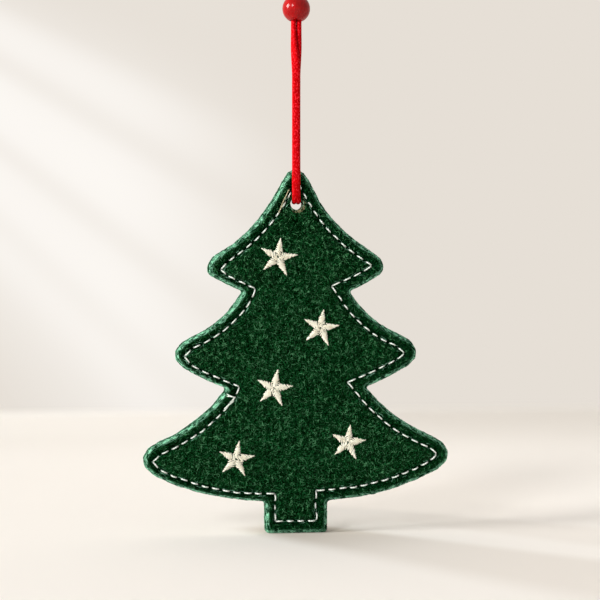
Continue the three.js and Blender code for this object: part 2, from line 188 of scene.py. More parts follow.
class Wire:
    def __init__(self, tree, socket=None):
        self.tree = tree
        self.socket = socket

    def node(self, kind, settings=None, inputs=None, out=0):
        made = self.tree.nodes.new(kind)
        for name, value in (settings or {}).items():
            if name == "stops":
                self.setStops(made.color_ramp, value)
            else:
                setattr(made, name, value)
        for name, value in (inputs or {}).items():
            if isinstance(value, Wire):
                self.tree.links.new(value.socket, made.inputs[name])
            else:
                made.inputs[name].default_value = value
        return Wire(self.tree, made.outputs[out])

    def setStops(self, ramp, stops):
        # a ramp's stops are grey levels, joined by a smooth curve
        while len(ramp.elements) < len(stops):
            ramp.elements.new(0.5)
        for element, (position, bright) in zip(ramp.elements, stops):
            element.position = position
            element.color = (bright, bright, bright, 1)
        ramp.interpolation = "B_SPLINE"

    def out(self, name):
        # another output of the same node
        return Wire(self.tree, self.socket.node.outputs[name])

    def math(self, operation, *others):
        values = dict(enumerate((self, *others)))
        return self.node("ShaderNodeMath", {"operation": operation}, values)

    def __add__(self, other):
        return self.math("ADD", other)

    def __sub__(self, other):
        return self.math("SUBTRACT", other)

    def __rsub__(self, other):
        return self.node("ShaderNodeMath", {"operation": "SUBTRACT"}, {0: other, 1: self})

    def __mul__(self, other):
        return self.math("MULTIPLY", other)

    def __truediv__(self, other):
        return self.math("DIVIDE", other)

    def __pow__(self, other):
        return self.math("POWER", other)

    __radd__ = __add__
    __rmul__ = __mul__

    def __abs__(self):
        return self.math("ABSOLUTE")

    def between(self, low, high, first=0.0, last=1.0):
        settings = {"interpolation_type": "SMOOTHSTEP"}
        inputs = {0: self, 1: low, 2: high, 3: first, 4: last}
        return self.node("ShaderNodeMapRange", settings, inputs)

    def noise(self, scale, detail=2.0, rough=0.5, twist=0.0):
        inputs = {"Vector": self, "Scale": scale, "Detail": detail, "Roughness": rough, "Distortion": twist}
        return self.node("ShaderNodeTexNoise", None, inputs)

    def moved(self, offset, stretch=(1, 1, 1), turn=(0, 0, 0)):
        inputs = {"Vector": self, "Location": offset, "Rotation": turn, "Scale": stretch}
        return self.node("ShaderNodeMapping", None, inputs)

    def xyz(self):
        x = self.node("ShaderNodeSeparateXYZ", None, {0: self})
        return x, x.out(1), x.out(2)

    def mix(self, first, second):
        # the wire is the share of the second colour
        inputs = {0: self, 6: first, 7: second}
        return self.node("ShaderNodeMix", {"data_type": "RGBA"}, inputs, 2)

    def bump(self, strength, distance):
        inputs = {"Strength": strength, "Distance": distance, "Height": self}
        return self.node("ShaderNodeBump", None, inputs)


def newMaterial(name, constants):
    material = bpy.data.materials.new(name)
    material.use_nodes = True
    shader = material.node_tree.nodes["Principled BSDF"]
    for socket, value in constants.items():
        shader.inputs[socket].default_value = value
    return material, Wire(material.node_tree), shader


def feed(shader, **sources):
    for name, source in sources.items():
        source.tree.links.new(source.socket, shader.inputs[name.replace("_", " ")])


def rgb(colour):
    # a colour as it is read off a screen, turned into light
    shares = [c / 255 for c in colour]
    return tuple(((s + 0.055) / 1.055) ** 2.4 if s > 0.04 else s / 12.92 for s in shares) + (1.0,)


# camera

cameraSet = {"turn": -7.0, "distance": 0.5566, "level": -0.1457, "lens": 93.0, "shift": (0.0063, -0.0417)}

cameraData = bpy.data.cameras.new("camera")
cameraData.lens = cameraSet["lens"]
cameraData.sensor_width = 36
cameraData.shift_x, cameraData.shift_y = cameraSet["shift"]
cameraData.clip_start, cameraData.clip_end = 0.01, 20
camera = addObject("camera", cameraData)
cameraTurn = math.radians(cameraSet["turn"])
backwards = Vector((math.sin(cameraTurn), -math.cos(cameraTurn), 0))
camera.location = backwards * cameraSet["distance"] + Vector((0, 0, cameraSet["level"]))
camera.rotation_mode = "QUATERNION"
camera.rotation_quaternion = (-backwards).to_track_quat("-Z", "Y")
bpy.context.scene.camera = camera
bpy.context.scene.view_settings.view_transform = "Standard"
print("camera placed")


# the cord: two strands of one flat braided cord

cordSet = {
    "width": 3.0, "thickness": 1.6, "squareness": 2.15, "step": 0.2, "sides": 32,
    "plait": 1.35, "slant": 0.75, "plaitHeight": 0.012,
    "valley": 0.05, "valleyWide": 0.25, "endValley": 0.5, "endRun": 3.0,
    # how much thicker a strand is drawn where the two press together in the bead, and from where to where
    "pressed": 0.14, "pressedFrom": (44, 54), "pressedTo": (80, 86),
    "colour": (208, 0, 8), "deepColour": (150, 0, 2), "highlightColour": (252, 48, 60),
    # the middle line of the front strand, from the hole up to the knot
    "route": [
        (0, 0, 118.35), (-0.1, -1.7, 118.4), (-0.2, -2.9, 118.75), (-0.4, -3.85, 119.7),
        (-0.5, -4.3, 121.4), (-0.53, -4.35, 125), (-0.52, -4.3, 129.5), (-0.48, -3.9, 133.5),
        (-0.32, -2.6, 139.5), (-0.17, -1.35, 145), (-0.12, -0.97, 150), (-0.12, -0.95, 157),
        (-0.12, -0.95, 163.5), (-0.36, -0.88, 168.5), (-0.82, -0.48, 174.5), (-0.95, -0.08, 180),
        (-0.95, 0, 186), (-0.95, 0, 192), (-0.98, 0, 198), (-2.3, 0, 203), (-5.1, 0, 208.5),
        (-7.4, 0, 215), (-7.9, 0, 221.5), (-6.6, 0, 228), (-4.1, 0, 233.5), (-1.9, 0, 237.5),
        (-1.0, 0, 240.5), (-0.95, 0, 242.5),
    ],
}


def cordMaterial():
    material, wire, shader = newMaterial("braided red cord", {
        "Roughness": 0.6, "Specular IOR Level": 0.02})
    where = wire.node("ShaderNodeTexCoord", out="UV")
    along, across, _ = where.xyz()
    # the yarns of a flat braid slant away from the middle line on each face
    half = abs((across * 2.0).math("FRACT") - 0.5) * 2.0
    yarn = (along / cordSet["plait"] + half * cordSet["slant"] * 2.0).math("FRACT")
    ridge = 1.0 - abs(yarn - 0.5) * 2.0
    fine = where.moved((0, 0, 0), (4.0, 60.0, 1.0)).noise(1.0, 3.0, 0.6, 0.5)
    patch = where.moved((3, 1, 0), (0.5, 3.0, 1.0)).noise(1.0)
    tone = (ridge * 0.08 + fine * 0.9 + patch * 0.4).between(0.45, 0.92)
    colour = tone.mix(rgb(cordSet["deepColour"]), rgb(cordSet["colour"]))
    # painted highlight: bright streaks that run along the yarns
    streak = where.moved((7, 2, 0), (1.2, 20.0, 1.0), (0, 0, 0.35)).noise(1.0)
    colour = (streak.between(0.53, 0.64) * 0.8).mix(colour, rgb(cordSet["highlightColour"]))
    # painted shade: a little darker where it bends through the hole
    colour = along.between(2.0, 18.0, 0.42, 0.0).mix(colour, rgb(cordSet["deepColour"]))
    feed(shader, Base_Color=colour, Normal=(ridge * 0.15 + fine * 0.8).bump(0.4, 0.00015))
    return material


cordLook = cordMaterial()


def cordOutline(turn, along):
    # a soft flat oval with a shallow middle valley and slanting yarns on each face
    power = 2 / cordSet["squareness"]
    a = np.sign(np.cos(turn)) * np.abs(np.cos(turn)) ** power
    b = np.sign(np.sin(turn)) * np.abs(np.sin(turn)) ** power
    run = along / mm
    plait = np.cos(2 * math.pi * (run / cordSet["plait"] + np.abs(a) * cordSet["slant"] * 2))
    grow = cordSet["plaitHeight"] * plait
    pressed = cordSet["pressed"] * smoothStep(*cordSet["pressedFrom"], run)
    pressed = pressed * (1 - smoothStep(*cordSet["pressedTo"], run))
    valley = cordSet["valley"] + cordSet["endValley"] * bell(run, cordSet["endRun"])
    valley = valley * bell(a, cordSet["valleyWide"])
    wideWay = a * (cordSet["width"] / 2 + grow * 0.8)
    thinWay = b * (cordSet["thickness"] / 2 + pressed + (grow - valley) * np.abs(b))
    return wideWay * mm, thinWay * mm


def makeStrand(name, side):
    # the back strand is the front one turned half round, with side -1
    route = np.array(cordSet["route"], float)
    route[:, :2] *= side
    line = smoothLine(place(route), cordSet["step"] * mm)
    wide = np.stack([-line[:, 1], line[:, 0], np.zeros(len(line))], axis=1)
    wide = unit(wide) * side
    # at the hole the wide way lies along X
    wide[np.linalg.norm(line[:, :2], axis=1) < 0.4 * mm] = (1, 0, 0)
    for _ in range(12):
        wide[1:-1] = unit(wide[:-2] + wide[1:-1] * 2 + wide[2:])
    bm, layer = newBm()
    tube(bm, layer, line, wide, cordOutline, cordSet["sides"])
    closeUp(bm)
    return finishPiece(name, bm, cordLook, "cord", "hanging_cord"), line


strandFront, lineFront = makeStrand("cord_strand_front", 1)
strandBack, lineBack = makeStrand("cord_strand_back", -1)


# the bead

beadSet = {
    "middle": -50.1, "radius": 5.0, "bore": 2.25, "lip": 0.35, "steps": 28, "lipSteps": 5, "turns": 72,
    "colour": (172, 0, 4), "deepColour": (144, 0, 2),
}


def beadMaterial():
    material, wire, shader = newMaterial("red lacquered bead", {
        "Roughness": 0.45, "Specular IOR Level": 0.04,
        "Coat Weight": 0.5, "Coat Roughness": 0.05, "Coat IOR": 1.42})
    where = wire.node("ShaderNodeTexCoord", out="Object")
    grain = where.moved((0, 0, 0), (1, 1, 0.18)).noise(900.0, 4.0, 0.6, 1.2)
    blot = where.noise(260.0)
    tone = (grain * 0.6 + blot * 0.5).between(0.42, 0.72)
    colour = tone.mix(rgb(beadSet["deepColour"]), rgb(beadSet["colour"]))
    height = where.noise(420.0, 2.0, 0.4) + grain * 0.15
    rough = grain.between(0.2, 0.8, 0.26, 0.4)
    feed(shader, Base_Color=colour, Normal=height.bump(0.12, 0.0002), Roughness=rough)
    return material


def makeBead():
    # the cut through one side of the bead, spun round the cord
    radius, bore, lip = beadSet["radius"], beadSet["bore"], beadSet["lip"]
    steps, lipSteps = beadSet["steps"], beadSet["lipSteps"]
    opening = math.asin((bore + lip) / radius)
    end = radius * math.cos(opening)
    tilts = [opening + (math.pi - 2 * opening) * i / steps for i in range(steps + 1)]
    points = [(radius * math.sin(tilt), radius * math.cos(tilt)) for tilt in tilts]
    for i in range(1, lipSteps + 1):
        roll = math.pi / 2 * i / lipSteps
        points.append((bore + lip * (1 - math.sin(roll)), -end + lip * (1 - math.cos(roll))))
    for i in range(1, lipSteps):
        roll = math.pi / 2 * (1 - i / lipSteps)
        points.append((bore + lip * (1 - math.sin(roll)), end - lip * (1 - math.cos(roll))))
    bm = bmesh.new()
    verts = [bm.verts.new((x * mm, 0, (z + beadSet["middle"]) * mm)) for x, z in points]
    edges = [bm.edges.new((p, q)) for p, q in zip(verts, verts[1:] + verts[:1])]
    bmesh.ops.spin(bm, geom=verts + edges, cent=(0, 0, 0), axis=(0, 0, 1), angle=2 * math.pi,
                   steps=beadSet["turns"], use_merge=True)
    bmesh.ops.recalc_face_normals(bm, faces=bm.faces[:])
    return finishPiece("bead_turned", bm, beadMaterial(), "bead", "bead")


bead = makeBead()


# the knot above the bead, with its two tails

knotSet = {
    "middle": 246.4, "radius": 2.35, "wide": 1.22, "pull": 0.55, "rise": 2.99, "turns": 1.25, "tilt": 24.0,
    "sides": 24,
    # one strand up through the middle of the knot and out as a tail
    "route": [(0.95, 0, 242.2), (0.9, 0.3, 244.5), (0.75, 0.2, 248), (1.0, 0, 251), (1.7, -0.2, 254),
              (2.5, -0.5, 257.6)],
}


def makeKnot():
    bm, layer = newBm()
    for side in (-1, 1):
        line = smoothLine(place(np.array(knotSet["route"]) * (side, side, 1)), cordSet["step"] * mm)
        wide = np.tile([0.0, 1.0, 0.0], (len(line), 1))
        tube(bm, layer, line, wide, cordOutline, knotSet["sides"])
    # the wraps: two slanting turns round the middle, drawn tight at their ends
    middle = (0, 0, knotSet["middle"])
    slope = math.tan(math.radians(knotSet["tilt"]))
    for start, lean in ((0.0, 1), (math.pi, -1)):
        points = []
        for t in np.arange(41) / 40:
            angle = start + 2 * math.pi * knotSet["turns"] * t
            r = knotSet["radius"] * (1 - knotSet["pull"] * abs(2 * t - 1) ** 6)
            x, y = r * knotSet["wide"] * math.cos(angle), r * math.sin(angle)
            points.append((x, y, middle[2] + slope * lean * x + knotSet["rise"] * (t - 0.5) * lean))
        line = smoothLine(place(points), cordSet["step"] * mm)
        out = unit(line - place([middle])[0])
        wide = np.cross(unit(np.gradient(line, axis=0)), out)
        tube(bm, layer, line, wide, cordOutline, knotSet["sides"])
    closeUp(bm)
    return finishPiece("knot_tied", bm, cordLook, "cord", "cord_knot")


knot = makeKnot()
for strand, line, ends in ((strandFront, lineFront, (knot, bead)), (strandBack, lineBack, ())):
    level(118.3)
    line[::4].tolist() + [line[-1].tolist()]


# the felt layers

feltSet = {
    "thick": 3.0, "grain": 0.45, "wall": 0.25, "roundIn": 2.0, "roundDown": 2.35,
    "jointRound": 0.45, "jointDeep": 0.22, "backShift": 0.35, "edgeGrow": 0.05,
    "hole": (-0.15, 117.75), "holeRadius": 2.28, "holeRim": 0.9, "holeRimDeep": 0.55,
    # the rolled edge outside the seam, the seam's groove and the dimples at its needle holes
    "rollCrest": 0.42, "rollDrop": 1.1, "innerWide": 0.85, "groove": 0.35, "grooveWide": 0.42,
    "needleDeep": 1.0, "needleWide": 0.62, "needleReach": 0.4, "starDent": 0.22, "starDentWide": 4.2,
    # unevenness of the faces and of the edge: height, size and seed
    "faceLumps": [(0.10, 5.5, 5), (0.07, 1.7, 11), (0.045, 0.8, 23)],
    "edgeStrokes": (0.08, 1.0, 31), "edgeLumps": (0.07, 3.1, 37),
    "darkColour": (0, 8, 0), "colour": (0, 26, 3), "lineColour": (42, 121, 67), "shadedColour": (0, 14, 3),
    # the rolled edge's dark wool and its pale strokes, which are painted bright as a highlight too
    "rimColour": (0, 52, 24), "rimStrokeHighlight": (158, 236, 194),
}
seamTurns = np.array([
    (-0.1, 125.6), (-28.1, 94.8), (-13.9, 86.9), (-40.3, 63.5), (-19.4, 52.0), (-51.5, 26.3), (-7.9, 14.1),
    (-7.9, 4.3), (6.9, 4.3), (6.9, 15.1), (51.0, 27.5), (18.2, 53.8), (39.1, 64.1), (12.5, 88.3), (27.3, 95.7),
])
# how far the sewn edge and the seam stand off the cut outline in places: x, height, move in x and height, reach
edgeMoves = [
    (-50.0, 25.5, 0.75, 0.1, 8.0), (-46.0, 36.5, 0.3, -0.5, 8.0), (-32.0, 45.5, 0.4, -0.5, 8.0),
    (-25.0, 13.0, 0.0, 0.45, 13.0), (-11.3, 7.0, -0.3, 0.0, 5.0), (15.0, 12.0, 0.0, 0.3, 8.0),
    (54.0, 28.0, 0.35, 0.0, 6.0), (42.0, 38.0, 0.1, 0.15, 8.0), (41.0, 65.0, 0.55, 0.0, 6.0),
    (29.5, 94.5, 0.35, 0.0, 5.0), (-37.0, 71.5, 0.2, -0.35, 7.0), (-27.0, 78.0, 0.3, -0.3, 7.0),
    (-22.0, 105.0, 0.25, -0.3, 11.0), (11.0, 115.0, -0.35, -0.3, 9.0), (-1.5, 129.0, 0.0, 0.6, 3.5),
    (-31.0, 93.5, -0.5, -0.55, 4.0),
]
seamMoves = [(-28.1, 94.8, 0.8, -0.6, 3.5), (-13.9, 86.9, -1.0, 0.6, 3.5), (-19.4, 52.0, -1.2, 0.4, 3.0)]
starSpots = [(-6.92, 98.68), (8.43, 73.39), (-8.33, 51.90), (-21.89, 26.88), (18.33, 32.23)]


def mergedCopy(node):
    bm = bmesh.new()
    bm.from_mesh(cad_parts[node].data)
    bmesh.ops.remove_doubles(bm, verts=bm.verts[:], dist=1e-7)
    return bm


def flatPlace(v):
    return v.co.x / mm, (v.co.z - footLevel) / mm


def ringAt(node, depth):
    # the outline of a felt node at one depth, in order, as (x, height) in millimetres
    bm = mergedCopy(node)
    verts = {v for v in bm.verts if abs(abs(v.co.y) - depth * mm) < 1e-6}
    start = here = min(verts, key=lambda v: v.co.x)
    ring, last = [], None
    while True:
        ring.append(flatPlace(here))
        near = [e.other_vert(here) for e in here.link_edges if e.other_vert(here) in verts]
        following = [v for v in near if v is not last and v is not here]
        step = [v for v in following if v is start or flatPlace(v) not in ring]
        last, here = here, (step or following)[0]
        if here is start:
            break
    bm.free()
    return np.array(ring)


def needleHoles(node, depth):
    bm = mergedCopy(node)
    found = np.array([flatPlace(v) for v in bm.verts if abs(abs(v.co.y) / mm - depth) < 0.012])
    bm.free()
    return found[np.argsort(toSegments(found, seamTurns)[2])]


def toSegments(spots, polygon):
    # the distance from each spot to a closed polygon, its nearest point, and how far along it lies
    best = np.full(len(spots), np.inf)
    nearest, along = np.zeros((len(spots), 2)), np.zeros(len(spots))
    passed = 0.0
    for p, q in zip(polygon, np.roll(polygon, -1, axis=0)):
        d = q - p
        long = np.linalg.norm(d)
        t = np.clip(((spots - p) @ d) / max(long * long, 1e-12), 0, 1)
        at = p + t[:, None] * d
        far = np.linalg.norm(spots - at, axis=1)
        closer = far < best
        best[closer], nearest[closer], along[closer] = far[closer], at[closer], passed + t[closer] * long
        passed += long
    return best, nearest, along


def insideOf(spots, polygon):
    inside = np.zeros(len(spots), bool)
    for p, q in zip(polygon, np.roll(polygon, -1, axis=0)):
        crosses = (p[1] > spots[:, 1]) != (q[1] > spots[:, 1])
        reach = p[0] + (spots[:, 1] - p[1]) * (q[0] - p[0]) / (q[1] - p[1] if q[1] != p[1] else 1e-9)
        inside ^= crosses & (spots[:, 0] < reach)
    return inside


def shifted(spots, moves):
    total = np.zeros(spots.shape)
    for x, h, dx, dh, reach in moves:
        total += np.exp(-np.sum((spots - (x, h)) ** 2, axis=1) / reach ** 2)[:, None] * (dx, dh)
    return spots + total


outlineRing = shifted(ringAt("felt_front", 0.45), edgeMoves)
holes = shifted(needleHoles("seam_thread_front", 2.22), seamMoves)
print("outline", len(outlineRing), "needle holes", len(holes))


def holeField(spots, reach):
    # 1 at a needle hole, fading to 0 within the reach
    total = np.zeros(len(spots))
    for hole in holes:
        total = np.maximum(total, bell(np.linalg.norm(spots - hole, axis=1), reach))
    return total


def wallNormals(nearest):
    # the way into the felt at points on the outline
    x, h = outlineRing.T
    turnsLeft = np.sum(x * np.roll(h, -1) - np.roll(x, -1) * h) > 0
    following = np.roll(outlineRing, -1, axis=0)
    run = unit(following - outlineRing)
    inwardWays = np.stack([-run[:, 1], run[:, 0]], axis=1) * (1 if turnsLeft else -1)
    middles = (outlineRing + following) / 2
    lengths = np.linalg.norm(following - outlineRing, axis=1)
    total = np.zeros((len(nearest), 2))
    for way, middle, long in zip(inwardWays, middles, lengths):
        near = np.linalg.norm(nearest - middle, axis=1)
        total += way * (bell(near, max(long, 1.2)) * long)[:, None]
    return unit(total)


def roundEdge(flat, depth, inward, rimWidth, direction):
    # the square edge of the slab is rounded, and the joint between the layers is drawn in
    roundIn = np.minimum(feltSet["roundIn"], 0.5 * rimWidth)
    u = np.clip(1 - inward / roundIn, 0, 1)
    v = np.clip(1 - (feltSet["thick"] - depth) / feltSet["roundDown"], 0, 1)
    newU, newV = u * np.sqrt(1 - v * v / 2), v * np.sqrt(1 - u * u / 2)
    joint = np.clip(1 - depth / feltSet["jointRound"], 0, 1) * np.clip(1 - inward / feltSet["jointRound"], 0, 1)
    move = (u - newU) * roundIn + joint * feltSet["jointDeep"]
    return flat + direction * move[:, None], depth - (v - newV) * feltSet["roundDown"]


def sewnDents(flat, inward, rimWidth, seamFar, side):
    # outside the seam the felt rolls over from its crest; inside it climbs back quickly
    fall = np.clip((inward / rimWidth - feltSet["rollCrest"]) / (1 - feltSet["rollCrest"]), 0, 1)
    outer = 1 - np.cos(fall * math.pi / 2)
    inner = np.exp(-(seamFar / feltSet["innerWide"]) ** 1.6)
    dent = feltSet["rollDrop"] * np.where(insideOf(flat, holes), inner, outer)
    dent += feltSet["groove"] * bell(seamFar, feltSet["grooveWide"])
    needle = holeField(flat, feltSet["needleWide"]) * bell(seamFar, feltSet["needleReach"])
    dent += feltSet["needleDeep"] * needle
    holeFar = np.linalg.norm(flat - np.array(feltSet["hole"]), axis=1) - feltSet["holeRadius"]
    dent += feltSet["holeRimDeep"] * np.clip(1 - holeFar / feltSet["holeRim"], 0, 1) ** 2
    if side < 0:
        for spot in starSpots:
            away = np.linalg.norm(flat - np.array(spot), axis=1)
            dent += feltSet["starDent"] * bell(away, feltSet["starDentWide"])
    return dent


def edgeTones(flat, depth, inward, rimWidth, onFace, side):
    # how much of the rolled edge's paler wool shows, brightened further as a painted highlight, and what stays
    # in painted shade
    outerShare = np.where(insideOf(flat, holes), 1, inward / rimWidth)
    pale = (1 - smoothStep(0.0, 0.34, outerShare)) * (0.3 + 0.7 * smoothStep(0.8, 1.9, depth))
    # painted shade on the roll's inner half, towards the seam
    shaded = 0.7 * smoothStep(0.4, 0.65, outerShare) * (1 - smoothStep(0.85, 1.0, outerShare)) * onFace
    # painted shade along the joint between the layers, on the front layer's wall and on the back layer's strip
    # beside it
    if side < 0:
        shaded = shaded + 1 - smoothStep(0.35, 0.8, depth)
    else:
        crevice = smoothStep(0.08, 0.2, inward) * (1 - smoothStep(0.3, 0.6, depth))
        pale, shaded = pale * (1 - crevice), shaded + crevice
    return pale, np.clip(shaded, 0, 1)


def shapeFelt(spots, side):
    # spots are (x, depth, height) in millimetres of a flat slab; the pressed and sewn shape comes back,
    # with each spot's place on the rolled edge and how far it is in shade
    flat = spots[:, [0, 2]]
    depth = np.abs(spots[:, 1])
    inward, nearest, runs = toSegments(flat, outlineRing)
    onWall = inward[:, None] < feltSet["wall"]
    direction = np.where(onWall, wallNormals(nearest), unit(flat - nearest))
    seamFar = toSegments(flat, holes)[0]
    rimWidth = inward + seamFar
    flat, deep = roundEdge(flat, depth, inward, rimWidth, direction)
    onFace = smoothStep(0.9, 2.4, depth)
    solid = np.stack([flat[:, 0], deep * 3, flat[:, 1]], axis=1)
    swell = sum(high * lumps(solid, size, seed + side) for high, size, seed in feltSet["faceLumps"])
    deep = deep - onFace * sewnDents(flat, inward, rimWidth, seamFar, side) + onFace * swell
    # the edge is uneven too, in strokes along it, and swells a little outwards
    across = inward + feltSet["thick"] - depth
    high, size, seed = feltSet["edgeStrokes"]
    strokePlaces = np.stack([runs * 0.6, across * 2.4, np.zeros(len(runs))], axis=1)
    uneven = high * lumps(strokePlaces, size, seed + side)
    high, size, seed = feltSet["edgeLumps"]
    uneven = uneven + high * lumps(solid, size, seed + side)
    outwards = (1 - smoothStep(0.0, 2.6, inward)) * uneven
    outwards += feltSet["edgeGrow"] * (1 - smoothStep(0.0, 1.5, inward))
    flat = flat - direction * outwards[:, None]
    if side > 0:
        flat[:, 0] -= feltSet["backShift"] * (1 - smoothStep(0.0, 3.5, inward))
    pale, shaded = edgeTones(flat, depth, inward, rimWidth, onFace, side)
    shaped = np.stack([flat[:, 0], deep * side, flat[:, 1]], axis=1)
    return shaped, np.stack([runs, across, pale], axis=1), shaded


def feltMaterial(name):
    material, wire, shader = newMaterial(name, {
        "Roughness": 0.95, "Specular IOR Level": 0.0, "Sheen Weight": 0.03, "Sheen Roughness": 0.3,
        "Sheen Tint": (0.1, 0.9, 0.45, 1)})
    where = wire.node("ShaderNodeTexCoord", out="Object")
    patch = where.noise(160.0, 3.0, 0.6)
    fine = where.noise(2600.0, 2.0, 0.6)

    def fibres(offset, scale, thick, twist):
        field = where.moved(offset).noise(scale, 1.0, 0.4, twist)
        return 1.0 - abs(field - 0.5).between(thick * 0.25, thick)

    first = fibres((0.3, 0.1, 0.7), 1000.0, 0.045, 0.9)
    second = fibres((1.9, 0.6, 0.2), 760.0, 0.035, 1.4)
    third = fibres((0.8, 2.2, 1.3), 1500.0, 0.055, 0.6)
    shade = where.noise(1300.0, 3.0, 0.65)
    tone = (shade * 0.95 + patch * 0.2).between(0.4, 0.78)
    colour = tone.mix(rgb(feltSet["darkColour"]), rgb(feltSet["colour"]))
    strength = first * 0.75 + second * 0.6 + third * 0.35
    strength = strength * (fine * 1.2 + patch * 0.3).between(0.35, 1.0, 0.25, 1.0)
    colour = strength.between(0.05, 1.05).mix(colour, rgb(feltSet["lineColour"]))
    shaded = wire.node("ShaderNodeAttribute", {"attribute_name": "shaded"}, out="Fac")
    depthOfShade = shaded * (shade * 0.5 + fine * 0.4).between(0.35, 0.5, 1.0, 0.5)
    colour = depthOfShade.mix(colour, rgb(feltSet["shadedColour"]))
    # on the rolled edge the fibres are drawn out along it and stand paler, and the pale strokes are painted
    # bright as a highlight too
    rim = wire.node("ShaderNodeAttribute", {"attribute_name": "rim"}, out="Vector")
    _, _, rimShare = rim.xyz()
    strokes = rim.moved((0, 0, 0), (0.42, 2.5, 0.0), (0, 0, 0.06)).noise(1.0, 2.0, 0.5, 0.5)
    rimTone = (strokes * 0.9 + fine * 0.2).between(0.5, 0.64)
    rimTone = rimTone.mix(rgb(feltSet["rimColour"]), rgb(feltSet["rimStrokeHighlight"]))
    colour = (rimShare * (strokes * 0.6 + shade * 0.6).between(0.3, 0.6, 0.6, 1.0)).mix(colour, rimTone)
    height = first * 0.7 + second * 0.6 + third * 0.5 + shade * 1.1 + fine * 0.5 + strokes * rimShare * 1.5
    feed(shader, Base_Color=colour, Normal=height.bump(0.9, 0.0003))
    return material


feltLook = feltMaterial("dark green felt")


def applyModifiers(piece):
    graph = bpy.context.evaluated_depsgraph_get()
    graph.update()
    mesh = bpy.data.meshes.new_from_object(piece.evaluated_get(graph))
    old = piece.data
    piece.modifiers.clear()
    piece.data = mesh
    mesh.name = old.name + "_made"
    smoothFaces(mesh)
    bpy.data.meshes.remove(old)


def makePunch():
    # the round tool that cuts the cord's hole
    bm = bmesh.new()
    x, h = feltSet["hole"]
    radius = feltSet["holeRadius"] * mm
    spot = Matrix.Translation((x * mm, 0, level(h))) @ Matrix.Rotation(math.pi / 2, 4, "X")
    bmesh.ops.create_cone(bm, cap_ends=True, segments=40, radius1=radius, radius2=radius, depth=0.02,
                          matrix=spot)
    return addObject("punch", toMesh("punch", bm))


def makeFelt(name, node, side):
    bm = bmesh.new()
    face = bm.faces.new([bm.verts.new((x * mm, 0, level(h))) for x, h in outlineRing])
    grown = bmesh.ops.extrude_face_region(bm, geom=[face])["geom"]
    grown = [g for g in grown if isinstance(g, bmesh.types.BMVert)]
    bmesh.ops.translate(bm, verts=grown, vec=(0, side * feltSet["thick"] * mm, 0))
    bmesh.ops.recalc_face_normals(bm, faces=bm.faces[:])
    felt = finishPiece(name, bm, feltLook, "tree", node)
    punch = makePunch()
    cut = felt.modifiers.new("hole", "BOOLEAN")
    cut.operation, cut.object, cut.solver = "DIFFERENCE", punch, "EXACT"
    remesh = felt.modifiers.new("felted", "REMESH")
    remesh.mode, remesh.voxel_size, remesh.use_smooth_shade = "VOXEL", feltSet["grain"] * mm, True
    applyModifiers(felt)
    bpy.data.objects.remove(punch)
    count = len(felt.data.vertices)
    spots = np.zeros(count * 3)
    felt.data.vertices.foreach_get("co", spots)
    spots = spots.reshape(-1, 3) / mm
    spots[:, 2] -= footLevel / mm
    shaped, rimPlace, shaded = shapeFelt(spots, side)
    shaped[:, 2] += footLevel / mm
    felt.data.vertices.foreach_set("co", (shaped * mm).ravel())
    felt.data.attributes.new("rim", "FLOAT_VECTOR", "POINT").data.foreach_set("vector", rimPlace.ravel())
    felt.data.attributes.new("shaded", "FLOAT", "POINT").data.foreach_set("value", shaded)
    felt.data.update()
    print(name, "vertices", count)
    return felt


feltFront = makeFelt("felt_layer_front", "felt_front", -1)
feltBack = makeFelt("felt_layer_back", "felt_back", 1)


# the seam's thread on each face

seamSet = {
    "ply": 0.175, "apart": 0.125, "twist": 1.9, "step": 0.22, "sides": 7,
    # how the thread leaves a needle hole: distance from it and depth
    "rise": [(0.0, 0.35), (0.62, 0.5), (0.84, 1.2), (1.0, 2.05), (1.32, 2.42)],
    "crest": 2.64, "cornerShift": 0.45, "sway": 0.09, "crestSpread": 0.05, "holeSpread": 0.07,
    "strayPly": 0.1, "strayApart": 0.09, "strayStep": 0.15,
    "colours": [(246, 255, 248), (222, 234, 218), (255, 255, 255)],
    "strayColours": [(206, 198, 158), (92, 88, 52), (246, 240, 214)],
}
# stray double stitches in the left notch and beside the apex: x, height and depth
notchStrays = [
    [(-25.2, 50.0, 2.4), (-24.7, 49.7, 3.1), (-23.8, 49.3, 3.4), (-22.9, 49.0, 3.3), (-22.3, 48.8, 2.9),
     (-22.1, 48.7, 1.4)],
    [(-25.3, 49.2, 2.6), (-24.6, 49.2, 3.2), (-23.7, 49.1, 3.5), (-22.8, 48.9, 3.2), (-22.2, 48.6, 1.6)],
    [(-22.1, 48.9, 1.4), (-22.4, 48.6, 3.0), (-23.0, 48.0, 3.3), (-23.7, 47.4, 3.0), (-23.9, 47.2, 1.4)],
    [(-22.6, 47.6, 1.4), (-22.9, 47.3, 3.0), (-23.7, 46.7, 3.35), (-24.6, 46.0, 3.35), (-25.1, 45.6, 3.0),
     (-25.3, 45.4, 1.4)],
    [(-24.0, 46.9, 1.6), (-24.5, 46.4, 3.2), (-25.1, 45.8, 3.5), (-25.7, 45.2, 3.3), (-26.1, 44.8, 3.0)],
]
apexStrays = [
    [(-2.6, 123.3, 1.3), (-2.95, 122.7, 2.9), (-3.7, 121.3, 3.3), (-4.4, 119.7, 3.35), (-4.9, 118.6, 3.0),
     (-5.1, 118.1, 1.4)],
    [(-3.7, 121.0, 1.4), (-4.1, 120.4, 3.1), (-4.9, 118.9, 3.5), (-5.6, 117.3, 3.3), (-5.95, 116.3, 2.9),
     (-6.1, 115.9, 1.4)],
    [(-4.6, 119.2, 1.4), (-5.0, 118.3, 3.2), (-5.5, 116.8, 3.4), (-6.2, 115.5, 3.2), (-6.7, 114.6, 2.9),
     (-6.8, 114.3, 1.4)],
]


